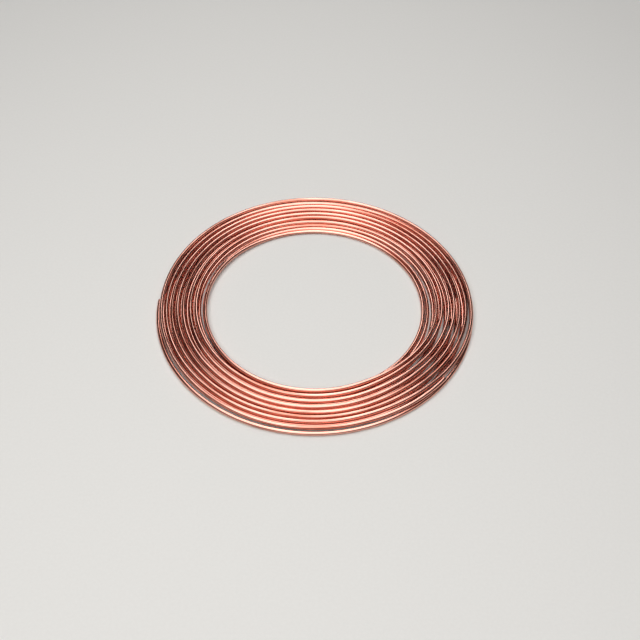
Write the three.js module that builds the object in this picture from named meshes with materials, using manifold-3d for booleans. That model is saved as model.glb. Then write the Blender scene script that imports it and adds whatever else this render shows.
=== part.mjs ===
// A coil of soft copper tube: one length wound flat in two layers, lying on the floor.
// Millimetres, +Z up. The origin is on the coil's axis, at the floor.
//
// The packed turns are one turned solid, with every turn showing on both faces, at the
// outside and round the bore. The first and the last turn leave it as tubes of their own,
// the lower one outside the rest. The upper one lies on that, or in the groove beside it.
// Each ends in a square-cut open end.

import * as THREE from 'three';
import * as BufferGeometryUtils from 'three/addons/utils/BufferGeometryUtils.js';
import Module from 'manifold-3d';

// Tube
const tubeDiameter = 6.0;
const wallThickness = 0.8;

// Winding
const coilBore = 321.0; // clear width inside the innermost turn
const lowerTurns = 9; // turns on the floor; the upper layer lies in the grooves between them
const turnGap = 3.0; // room between a turn and its neighbour

// Free ends, in degrees anticlockwise from +X, seen from above
const lowerEndAngle = 177;
const upperEndAngle = 322;
const freeTravel = 345; // how far round a free turn runs before it is lost among the others
const rootTravel = 45; // the last part of that, where it slips in between them
const grooveEntry = 45; // how far the upper free turn takes to slip off the outermost turn
const grooveExit = 125; // where it starts to climb on to that again
const layClearance = 0.07; // a free turn's height above the crest that it crosses
const openDepth = 42; // how deep the open bore of each end is cut

// Facets
const coilSegments = 80; // round the coil
const tubeFacets = 8; // round the tube, a multiple of 4, with one facet flat on the floor

// Sizes that follow
const tubeRadius = tubeDiameter / 2;
const pitch = tubeDiameter + turnGap;
const layerRise = Math.sqrt(tubeDiameter ** 2 - (pitch / 2) ** 2); // between layers, touching
const lowerHeight = tubeRadius;
const upperHeight = lowerHeight + layerRise;
const middleHeight = (lowerHeight + upperHeight) / 2;
const facetAngle = (2 * Math.PI) / tubeFacets;
const outermost = lowerTurns - 1;

// Radius of a turn's centre line, counted outwards from 0 at the bore.
const lowerRadius = (turn) => coilBore / 2 + tubeRadius + turn * pitch;
const upperRadius = (turn) => lowerRadius(turn) + pitch / 2;

// Corners of the tube's section, of facets that touch a circle, with one at the bottom.
// They are counted anticlockwise from 0 at the outer end of the bottom facet.
function sectionCorners(x, y, circleRadius, first, count) {
  const cornerRadius = circleRadius / Math.cos(facetAngle / 2);
  return Array.from({ length: count }, (_, i) => {
    const angle = -Math.PI / 2 + (first + i + 0.5) * facetAngle;
    return new THREE.Vector2(x + cornerRadius * Math.cos(angle), y + cornerRadius * Math.sin(angle));
  });
}

const half = tubeFacets / 2;
const crestCorners = half - 2;
const bottomCrest = -crestCorners / 2;
const topCrest = bottomCrest + half;

// One face of a layer, seen in section: the turns' crests, with a groove between each two
// where their next facets would meet. The face looks down for side -1, and up for side 1.
function layerFace(radii, height, side) {
  const lastCorner = ((crestCorners - 1) / 2) * facetAngle;
  const cornerRadius = tubeRadius / Math.cos(facetAngle / 2);
  const run = pitch / 2 - cornerRadius * Math.sin(lastCorner);
  const drop = run * Math.tan((crestCorners / 2) * facetAngle);
  const grooveHeight = height + side * (cornerRadius * Math.cos(lastCorner) - drop);
  const firstCorner = side < 0 ? bottomCrest : topCrest;
  return radii.flatMap((radius, i) => {
    const crest = sectionCorners(radius, height, tubeRadius, firstCorner, crestCorners);
    const isLast = i === radii.length - 1;
    return isLast ? crest : [...crest, new THREE.Vector2(radius - (side * pitch) / 2, grooveHeight)];
  });
}

// The packed turns: every turn but the two free ones, turned about the coil's axis.
function packedTurns() {
  const lower = Array.from({ length: lowerTurns - 1 }, (_, i) => lowerRadius(i));
  const upper = Array.from({ length: lowerTurns - 2 }, (_, i) => upperRadius(i));
  const outerSide = bottomCrest + crestCorners;
  const innerSide = topCrest + crestCorners;
  const profile = [
    ...layerFace(lower, lowerHeight, -1),
    ...sectionCorners(lower.at(-1), lowerHeight, tubeRadius, outerSide, half),
    ...sectionCorners(upper.at(-1), upperHeight, tubeRadius, outerSide, half - crestCorners),
    ...layerFace(upper.toReversed(), upperHeight, 1),
    ...sectionCorners(upper[0], upperHeight, tubeRadius, innerSide, half - crestCorners),
    ...sectionCorners(lower[0], lowerHeight, tubeRadius, innerSide - crestCorners, half),
  ];
  profile.push(profile[0]);
  return new THREE.LatheGeometry(profile, coilSegments).rotateX(Math.PI / 2);
}

// The centre line of a free turn, from its open end towards its root.
class FreeTurn extends THREE.Curve {
  constructor(turn, from, to) {
    super();
    this.turn = turn;
    this.from = from;
    this.to = to;
  }

  getPoint(t, target = new THREE.Vector3()) {
    const travel = THREE.MathUtils.lerp(this.from, this.to, t);
    const { endAngle, direction, radius, height } = this.turn;
    const angle = THREE.MathUtils.degToRad(endAngle + direction * travel);
    const r = radius(travel);
    return target.set(r * Math.cos(angle), r * Math.sin(angle), height(travel, r));
  }
}

// A free turn keeps its radius nearly all the way round, and slips in among the packed
// turns at its root, until its centre is between the second and third of them.
const slip = (travel) => THREE.MathUtils.smoothstep(travel, freeTravel - rootTravel, freeTravel);

const lowerFreeTurn = {
  endAngle: lowerEndAngle,
  direction: 1,
  radius: (travel) => lowerRadius(outermost) - 2.5 * pitch * slip(travel),
  height: (travel) => THREE.MathUtils.lerp(lowerHeight, middleHeight, slip(travel)),
};

// The upper free turn starts on top of the outermost turn, lies in the groove inside it for
// a quarter of the way round, and then rides on it as far as its root.
const upperFreeTurn = {
  endAngle: upperEndAngle,
  direction: -1,
  radius: (travel) => {
    const inGroove = THREE.MathUtils.smoothstep(travel, 0, grooveEntry)
      - THREE.MathUtils.smoothstep(travel, grooveExit, grooveExit + grooveEntry);
    return lowerRadius(outermost) - (pitch / 2) * inGroove - 2 * pitch * slip(travel);
  },
  height: (travel, radius) => {
    const passed = (upperEndAngle - travel - lowerEndAngle + 360) % 360;
    const below = [lowerFreeTurn.radius(passed), lowerRadius(outermost - 1)];
    const rises = below.map((other) => {
      const aside = Math.min(tubeDiameter, Math.abs(radius - other));
      return Math.sqrt(tubeDiameter ** 2 - aside ** 2) + layClearance;
    });
    const lying = lowerHeight + Math.max(layerRise, ...rises);
    return THREE.MathUtils.lerp(lying, middleHeight, slip(travel));
  },
};

function sweep(turn, circleRadius, from, to) {
  const section = new THREE.Shape(sectionCorners(0, 0, circleRadius, 0, tubeFacets));
  const steps = Math.ceil(((to - from) / 360) * coilSegments);
  return new THREE.ExtrudeGeometry(section, {
    extrudePath: new FreeTurn(turn, from, to),
    steps,
    bevelEnabled: false,
  });
}

// Solids
const manifold = await Module();
manifold.setup();

function toSolid(geometry) {
  geometry.deleteAttribute('normal');
  geometry.deleteAttribute('uv');
  const merged = BufferGeometryUtils.mergeVertices(geometry);
  return new manifold.Manifold(new manifold.Mesh({
    numProp: 3,
    vertProperties: merged.attributes.position.array,
    triVerts: new Uint32Array(merged.index.array),
  }));
}

function toGeometry(solid) {
  const mesh = solid.getMesh();
  const geometry = new THREE.BufferGeometry();
  geometry.setAttribute('position', new THREE.BufferAttribute(mesh.vertProperties, 3));
  geometry.setIndex(new THREE.BufferAttribute(mesh.triVerts, 1));
  geometry.computeVertexNormals();
  return geometry;
}

// A free turn with its bore cut into the open end.
function freeTurnParts(turn) {
  const boreRadius = tubeRadius - wallThickness;
  const openTravel = THREE.MathUtils.radToDeg(openDepth / turn.radius(0));
  const margin = openTravel / 10;
  return {
    tube: toSolid(sweep(turn, tubeRadius, 0, freeTravel)),
    bore: toSolid(sweep(turn, boreRadius, -margin, openTravel)),
  };
}

function tubeCoil() {
  let solid = toSolid(packedTurns());
  for (const turn of [lowerFreeTurn, upperFreeTurn]) {
    const { tube, bore } = freeTurnParts(turn);
    solid = solid.add(tube).subtract(bore);
  }
  // The facets of neighbouring turns seal in specks of air, which are left out here.
  const filled = manifold.Manifold.union(solid.decompose().filter((shell) => shell.volume() > 0));
  const copper = new THREE.MeshStandardMaterial({ color: 0xc07a58, roughness: 0.22, metalness: 1 });
  const mesh = new THREE.Mesh(toGeometry(filled), copper);
  mesh.name = 'tube_coil';
  return mesh;
}

const coil = new THREE.Group();
coil.add(tubeCoil());

export default coil;
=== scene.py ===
import math

import bmesh
import bpy
from mathutils import Matrix, Vector


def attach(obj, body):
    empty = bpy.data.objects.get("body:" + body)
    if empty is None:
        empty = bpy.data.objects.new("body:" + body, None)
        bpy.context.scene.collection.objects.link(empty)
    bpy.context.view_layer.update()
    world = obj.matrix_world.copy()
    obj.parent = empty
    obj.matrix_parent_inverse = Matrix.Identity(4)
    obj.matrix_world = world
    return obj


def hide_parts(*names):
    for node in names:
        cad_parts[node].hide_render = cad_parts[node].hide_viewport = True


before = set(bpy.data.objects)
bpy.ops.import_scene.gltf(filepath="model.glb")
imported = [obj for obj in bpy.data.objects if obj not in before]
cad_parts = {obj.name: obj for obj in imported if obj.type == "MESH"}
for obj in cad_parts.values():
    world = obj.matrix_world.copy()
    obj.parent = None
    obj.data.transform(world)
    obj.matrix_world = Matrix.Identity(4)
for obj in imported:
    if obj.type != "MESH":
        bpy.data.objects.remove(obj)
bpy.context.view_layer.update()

# ---------------------------------------------------------------------------
# Camera. It stands in front of the coil at chest height and looks down at it,
# far enough away that the front and the back of the ring stay nearly alike.
# ---------------------------------------------------------------------------

MM = 0.001

camera_distance = 1560 * MM
camera_elevation = math.radians(47.5)

camera_data = bpy.data.cameras.new("camera")
camera_data.sensor_width = 36
camera_data.lens = 57.97
camera_data.shift_x = 0.0084
camera_data.shift_y = -0.0196
camera_data.clip_start = 0.01
camera = bpy.data.objects.new("camera", camera_data)
camera.location = (
    0,
    -camera_distance * math.cos(camera_elevation),
    camera_distance * math.sin(camera_elevation),
)
camera.rotation_euler = (math.pi / 2 - camera_elevation, 0, 0)
bpy.context.collection.objects.link(camera)
bpy.context.scene.camera = camera

# ---------------------------------------------------------------------------
# The tube. One length of drawn soft copper, wound flat: the lower layer runs
# inwards on the floor, the upper one runs outwards again in the grooves above
# it. Nothing ties it, so the turns lie slack, and both cut ends stay open.
# ---------------------------------------------------------------------------

tube_radius = 3.0 * MM
wall_thickness = 0.8 * MM
tube_sides = 18
station_angle = 3.0  # degrees from one ring of the mesh to the next
rolled_edge = 1.4 * MM  # the cutter's wheel rolls the last of each end inwards
rolled_share = 0.09  # by this share of the radius
edge_steps = (0.3, 0.65, 1)  # where the mesh has a ring in it, as shares of its length
easing_passes = 12

# Angles are degrees anticlockwise from +X. Travel is in degrees too, and is counted along
# the winding from its lower end.
lower_end_angle = 177
upper_end_angle = 322
closing_in = (115, 240)  # where a turn shifts inwards, and a turn above stays in its groove
sways = ((0.2, 1.61), (0.15, 2.73))  # how slack turns wander: millimetres, waves in a turn
sway_start = 90  # travel over which the wandering sets in

# Radii of the turns' centre lines in millimetres, in the order of winding. An upper turn
# has one in front and one behind, and the angles between which it crosses two lower turns
# on its way outwards. The last one slips on to the outermost turn.
lower_radii = (235.2, 222.8, 214.6, 206.3, 197.4, 187.8, 178.2, 169.9, 163.4)
upper_turns = (
    (165.6, 183.0, 290, 360),
    (173.8, 192.6, 294, 366),
    (183.0, 201.9, 291, 364),
    (193.8, 210.5, 295, 368),
    (202.6, 218.7, 292, 364),
    (210.8, 227.8, 293, 366),
    (218.6, 234.9, 286, 356),
    (227.6, 235.0, 285, 335),
)


def travel_at(angle, turn):
    return angle - lower_end_angle + 360 * turn


lower_length = travel_at(closing_in[0], len(lower_radii))
full_length = travel_at(upper_end_angle, len(lower_radii) + len(upper_turns) - 1)

# Every shift: the travel at which it starts and ends, and the radius it leads to.
shifts = []
for turn, radius in enumerate(lower_radii[1:], 1):
    shifts.append([travel_at(angle, turn) for angle in closing_in] + [radius])
for turn, (front, back, *crossing) in enumerate(upper_turns, len(lower_radii)):
    shifts.append([travel_at(angle, turn) for angle in closing_in] + [front])
    shifts.append([travel_at(angle, turn) for angle in crossing] + [back])


def ease(share):
    share = min(1, max(0, share))
    return share * share * (3 - 2 * share)


def lay_radius(travel):
    """Radius at which the tube's centre line lies."""
    radius = lower_radii[0]
    for start, end, new_radius in shifts:
        radius += (new_radius - radius) * ease((travel - start) / (end - start))
    sway = sum(size * math.sin(math.radians(waves * travel)) for size, waves in sways)
    return (radius + sway * ease(travel / sway_start)) * MM


def contact_height(travel, radius):
    """Height at which a turn lies on the turns of the lower layer that are under it."""
    height = tube_radius
    below = travel % 360
    while below <= lower_length:
        aside = abs(lay_radius(below) - radius)
        if aside < 2 * tube_radius:
            rise = math.sqrt((2 * tube_radius) ** 2 - aside**2)
            height = max(height, tube_radius + rise)
        below += 360
    return height


station_count = round(full_length / station_angle)
travels = [full_length * i / station_count for i in range(station_count + 1)]
edge_travel = math.degrees(rolled_edge / (lower_radii[0] * MM))
end_steps = [edge_travel * step for step in edge_steps]
travels[1:1] = end_steps
travels[-1:-1] = [full_length - step for step in reversed(end_steps)]
radii = [lay_radius(travel) for travel in travels]
heights = [
    contact_height(travel, radius) if travel > lower_length else tube_radius
    for travel, radius in zip(travels, radii)
]
# Copper bends stiffly, so a turn passes over each dip in one easy curve.
for _ in range(easing_passes):
    eased = [(before + after) / 2 for before, after in zip(heights, heights[2:])]
    heights[1:-1] = [max(pair) for pair in zip(heights[1:-1], eased)]

# The length of tube from the lower end to each ring of the mesh.
runs = [0]
for i, radius in enumerate(radii[1:], 1):
    runs.append(runs[-1] + radius * math.radians(travels[i] - travels[i - 1]))

# One circle is drawn out along the winding. Each corner keeps its run along the tube and
# its place in the section, for the finish to follow.
mesh = bmesh.new()
along = mesh.verts.layers.float.new("along")
across = mesh.verts.layers.float_vector.new("across")
ring = bmesh.ops.create_circle(mesh, segments=tube_sides, radius=tube_radius)["verts"]
section = [Vector((vert.co.x, 0, vert.co.y)) for vert in ring]
edges = list(mesh.edges)
for i, (travel, radius, height, run) in enumerate(zip(travels, radii, heights, runs)):
    if i > 0:
        drawn = bmesh.ops.extrude_edge_only(mesh, edges=edges)["geom"]
        ring = [part for part in drawn if isinstance(part, bmesh.types.BMVert)]
        fresh = set(ring)
        edges = [
            part
            for part in drawn
            if isinstance(part, bmesh.types.BMEdge) and fresh.issuperset(part.verts)
        ]
    from_end = min(run, runs[-1] - run)
    width = 1 - rolled_share * max(0, 1 - from_end / rolled_edge) ** 2
    place = Matrix.Rotation(math.radians(lower_end_angle + travel), 4, "Z")
    place @= Matrix.Translation((radius, 0, height))
    for vert, corner in zip(ring, section):
        vert.co = place @ (corner * width)
        vert[along] = run
        vert[across] = corner
bmesh.ops.recalc_face_normals(mesh, faces=mesh.faces)
for face in mesh.faces:
    face.smooth = True


def rank(part):
    """A number that puts edges or faces in the order of their corners."""
    corners = [vert.index for vert in part.verts]
    return min(corners) * len(mesh.verts) + max(corners)


# The extrusions leave edges and faces in a chance order, so they are put in order, and each
# run gives the same mesh.
mesh.verts.index_update()
mesh.edges.sort(key=rank)
mesh.faces.sort(key=rank)
data = bpy.data.meshes.new("copper_tube")
mesh.to_mesh(data)
mesh.free()
copper_tube = bpy.data.objects.new("copper_tube", data)
bpy.context.collection.objects.link(copper_tube)
wall = copper_tube.modifiers.new("wall", "SOLIDIFY")
wall.thickness = wall_thickness
wall.offset = -1
wall.use_rim = True


def linear(hex_colour):
    """Linear colour of an sRGB hex value."""
    channels = [int(hex_colour[i : i + 2], 16) / 255 for i in (1, 3, 5)]
    straightened = [
        value / 12.92 if value <= 0.04045 else ((value + 0.055) / 1.055) ** 2.4
        for value in channels
    ]
    return (*straightened, 1)


def add(tree, kind, inputs, **settings):
    """Add a node. Each input is a plain value or the output that feeds it."""
    node = tree.nodes.new("ShaderNode" + kind)
    for name, value in settings.items():
        setattr(node, name, value)
    for name, value in inputs.items():
        if isinstance(value, bpy.types.NodeSocket):
            tree.links.new(value, node.inputs[name])
        else:
            node.inputs[name].default_value = value
    return node


# A Mix node has sockets for every kind of data, so those of its colours go by number.
first_colour, second_colour, mixed_colour = 6, 7, 2

# Bright annealed copper: drawn through a die, annealed in a clean furnace and wound by
# machine. To the eye it is a salmon-pink mirror, with fine lines along the tube from the
# die, a browner bloom in long soft patches, and highlights that waver where it was bent.
copper = bpy.data.materials.new("bright_annealed_copper")
copper.use_nodes = True
tree = copper.node_tree
shader = tree.nodes["Principled BSDF"]
shader.inputs["Metallic"].default_value = 1

# The place on the tube as if it were straight, in metres, with Y along it.
run_along = add(tree, "Attribute", {}, attribute_name="along").outputs["Fac"]
lengthwise = add(tree, "CombineXYZ", {"Y": run_along}).outputs["Vector"]
section_place = add(tree, "Attribute", {}, attribute_name="across").outputs["Vector"]
straight = add(
    tree, "VectorMath", {0: section_place, 1: lengthwise}, operation="ADD"
).outputs["Vector"]

# How wide and how long the patches of each pattern are on the tube. Real die lines are
# finer still, and are drawn as coarse as it takes for them to show close by.
patches = {}
for pattern, width, length, detail in (
    ("die lines", 0.4 * MM, 180 * MM, 2),
    ("bloom", 7 * MM, 110 * MM, 3),
    ("waver", 11 * MM, 38 * MM, 1),
):
    grain = (1 / width, 1 / length, 1 / width)
    scaled = add(tree, "VectorMath", {0: straight, 1: grain}, operation="MULTIPLY")
    noise = {"Vector": scaled.outputs["Vector"], "Scale": 1, "Detail": detail}
    patches[pattern] = add(tree, "TexNoise", noise).outputs["Fac"]

bloom = add(
    tree,
    "MapRange",
    {"Value": patches["bloom"], "From Min": 0.5, "From Max": 0.75, "To Min": -0.2, "To Max": 0.7},
).outputs["Result"]
browned = add(
    tree, "Math", {0: patches["die lines"], 1: 0.5, 2: bloom}, operation="MULTIPLY_ADD"
).outputs["Value"]
tint = add(
    tree,
    "Mix",
    {"Factor": browned, first_colour: linear("#e8aa99"), second_colour: linear("#ac5f49")},
    data_type="RGBA",
).outputs[mixed_colour]
tree.links.new(tint, shader.inputs["Base Color"])
gloss = add(
    tree,
    "MapRange",
    {
        "Value": patches["die lines"],
        "From Min": 0.3,
        "From Max": 0.7,
        "To Min": 0.04,
        "To Max": 0.1,
    },
).outputs["Result"]
dulled = add(
    tree, "Math", {0: bloom, 1: 0.08, 2: gloss}, operation="MULTIPLY_ADD"
).outputs["Value"]
tree.links.new(dulled, shader.inputs["Roughness"])
lined = add(
    tree,
    "Bump",
    {"Height": patches["die lines"], "Strength": 1, "Distance": 0.03 * MM},
).outputs["Normal"]
wavy = add(
    tree,
    "Bump",
    {"Height": patches["waver"], "Strength": 1, "Distance": 0.4 * MM, "Normal": lined},
).outputs["Normal"]
tree.links.new(wavy, shader.inputs["Normal"])

# The cut rim of each end: fresh copper, pale and matt beside the drawn skin, and finely
# scored by the cutter.
cut = bpy.data.materials.new("cut_copper")
cut.use_nodes = True
tree = cut.node_tree
shader = tree.nodes["Principled BSDF"]
shader.inputs["Metallic"].default_value = 1
shader.inputs["Base Color"].default_value = linear("#eeb09a")
shader.inputs["Roughness"].default_value = 0.38
place_on_rim = add(tree, "TexCoord", {}).outputs["Object"]
scores = add(
    tree, "TexNoise", {"Vector": place_on_rim, "Scale": 1 / (0.3 * MM), "Detail": 2}
).outputs["Fac"]
scored = add(
    tree, "Bump", {"Height": scores, "Strength": 0.5, "Distance": 0.03 * MM}
).outputs["Normal"]
tree.links.new(scored, shader.inputs["Normal"])

data.materials.append(copper)
data.materials.append(cut)
wall.material_offset_rim = 1

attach(copper_tube, "root")
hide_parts("tube_coil")

# ---------------------------------------------------------------------------
# Floor. A plain round sheet of pale matt paper. Its outer part fades away
# into the pale lower half of the room, so that no edge or horizon shows.
# ---------------------------------------------------------------------------

floor_radius = 2500 * MM
fade_start = 900 * MM
fade_end = 2400 * MM

mesh = bmesh.new()
bmesh.ops.create_circle(mesh, cap_ends=True, segments=64, radius=floor_radius)
data = bpy.data.meshes.new("floor")
mesh.to_mesh(data)
mesh.free()
floor = bpy.data.objects.new("floor", data)
bpy.context.collection.objects.link(floor)

# Uncoated paper: an even pale grey with no gloss, faintly uneven from its fibres.
paper = bpy.data.materials.new("matt_paper")
paper.use_nodes = True
tree = paper.node_tree
shader = tree.nodes["Principled BSDF"]
shader.inputs["Roughness"].default_value = 0.9
object_place = add(tree, "TexCoord", {}).outputs["Object"]
fibres = add(
    tree, "TexNoise", {"Vector": object_place, "Scale": 1 / (4 * MM), "Detail": 4}
).outputs["Fac"]
shade = add(
    tree,
    "Mix",
    {"Factor": fibres, first_colour: linear("#e3e1dd"), second_colour: linear("#e9e7e3")},
    data_type="RGBA",
).outputs[mixed_colour]
tree.links.new(shade, shader.inputs["Base Color"])
from_centre = add(tree, "VectorMath", {0: object_place}, operation="LENGTH").outputs["Value"]
fade = add(
    tree,
    "MapRange",
    {"Value": from_centre, "From Min": fade_start, "From Max": fade_end},
    interpolation_type="SMOOTHSTEP",
).outputs["Result"]
gone = add(tree, "BsdfTransparent", {}).outputs["BSDF"]
faded = add(tree, "MixShader", {0: fade, 1: shader.outputs["BSDF"], 2: gone}).outputs["Shader"]
tree.links.new(faded, tree.nodes["Material Output"].inputs["Surface"])
data.materials.append(paper)

# ---------------------------------------------------------------------------
# Light. A long soft overhead screen that is brightest in its middle, a slim
# strip light behind it for the thin bright lines, and a room that is pale at
# the bottom and dim higher up.
# ---------------------------------------------------------------------------

horizon_strength = 0.67
zenith_strength = 0.05
thinning = 8  # how fast the paleness is lost with height

world = bpy.data.worlds.new("room")
world.use_nodes = True
tree = world.node_tree
bpy.context.scene.world = world
direction = add(tree, "TexCoord", {}).outputs["Generated"]
upward = add(tree, "SeparateXYZ", {"Vector": direction}).outputs["Z"]
above_floor = add(tree, "Math", {0: upward, 1: 0}, operation="MAXIMUM").outputs["Value"]
below_top = add(tree, "Math", {0: 1, 1: above_floor}, operation="SUBTRACT").outputs["Value"]
paleness = add(tree, "Math", {0: below_top, 1: thinning}, operation="POWER").outputs["Value"]
room_light = add(
    tree,
    "Math",
    {0: paleness, 1: horizon_strength, 2: zenith_strength},
    operation="MULTIPLY_ADD",
).outputs["Value"]
tree.nodes["Background"].inputs["Color"].default_value = (1, 1, 1, 1)
tree.links.new(room_light, tree.nodes["Background"].inputs["Strength"])


def area_light(name, shape, width, length, watts, place, turn):
    """Hang up a lamp. Its sizes and its place are in metres."""
    light = bpy.data.lights.new(name, "AREA")
    light.shape = shape
    light.size = width
    light.size_y = length
    light.energy = watts
    lamp = bpy.data.objects.new(name, light)
    lamp.location = place
    lamp.rotation_euler = turn
    bpy.context.collection.objects.link(lamp)
    return light


screen = area_light(
    "overhead_screen",
    "ELLIPSE",
    width=3.9,
    length=5.6,
    watts=116,
    place=(-0.25, -0.85, 2.0),
    turn=(0, 0, math.radians(-5)),
)
screen.use_nodes = True
tree = screen.node_tree
place_on_screen = add(tree, "NewGeometry", {}).outputs["Parametric"]
middle_of_screen = (0.5, 0.5, 0)
from_middle = add(
    tree, "VectorMath", {0: place_on_screen, 1: middle_of_screen}, operation="DISTANCE"
).outputs["Value"]
falloff = add(
    tree,
    "MapRange",
    {"Value": from_middle, "From Min": 0.22, "From Max": 0.5, "To Min": 1, "To Max": 0},
    interpolation_type="SMOOTHSTEP",
).outputs["Result"]
tree.links.new(falloff, tree.nodes["Emission"].inputs["Strength"])

strip_tilt = math.radians(44)
strip_reach = 2.5
area_light(
    "back_strip",
    "RECTANGLE",
    width=0.42,
    length=1.4,
    watts=7,
    place=(0, strip_reach * math.sin(strip_tilt), strip_reach * math.cos(strip_tilt)),
    turn=(-strip_tilt, 0, 0),
)

# ---------------------------------------------------------------------------
# Colour. Colours are shown as they are written.
# ---------------------------------------------------------------------------

bpy.context.scene.view_settings.view_transform = "Standard"
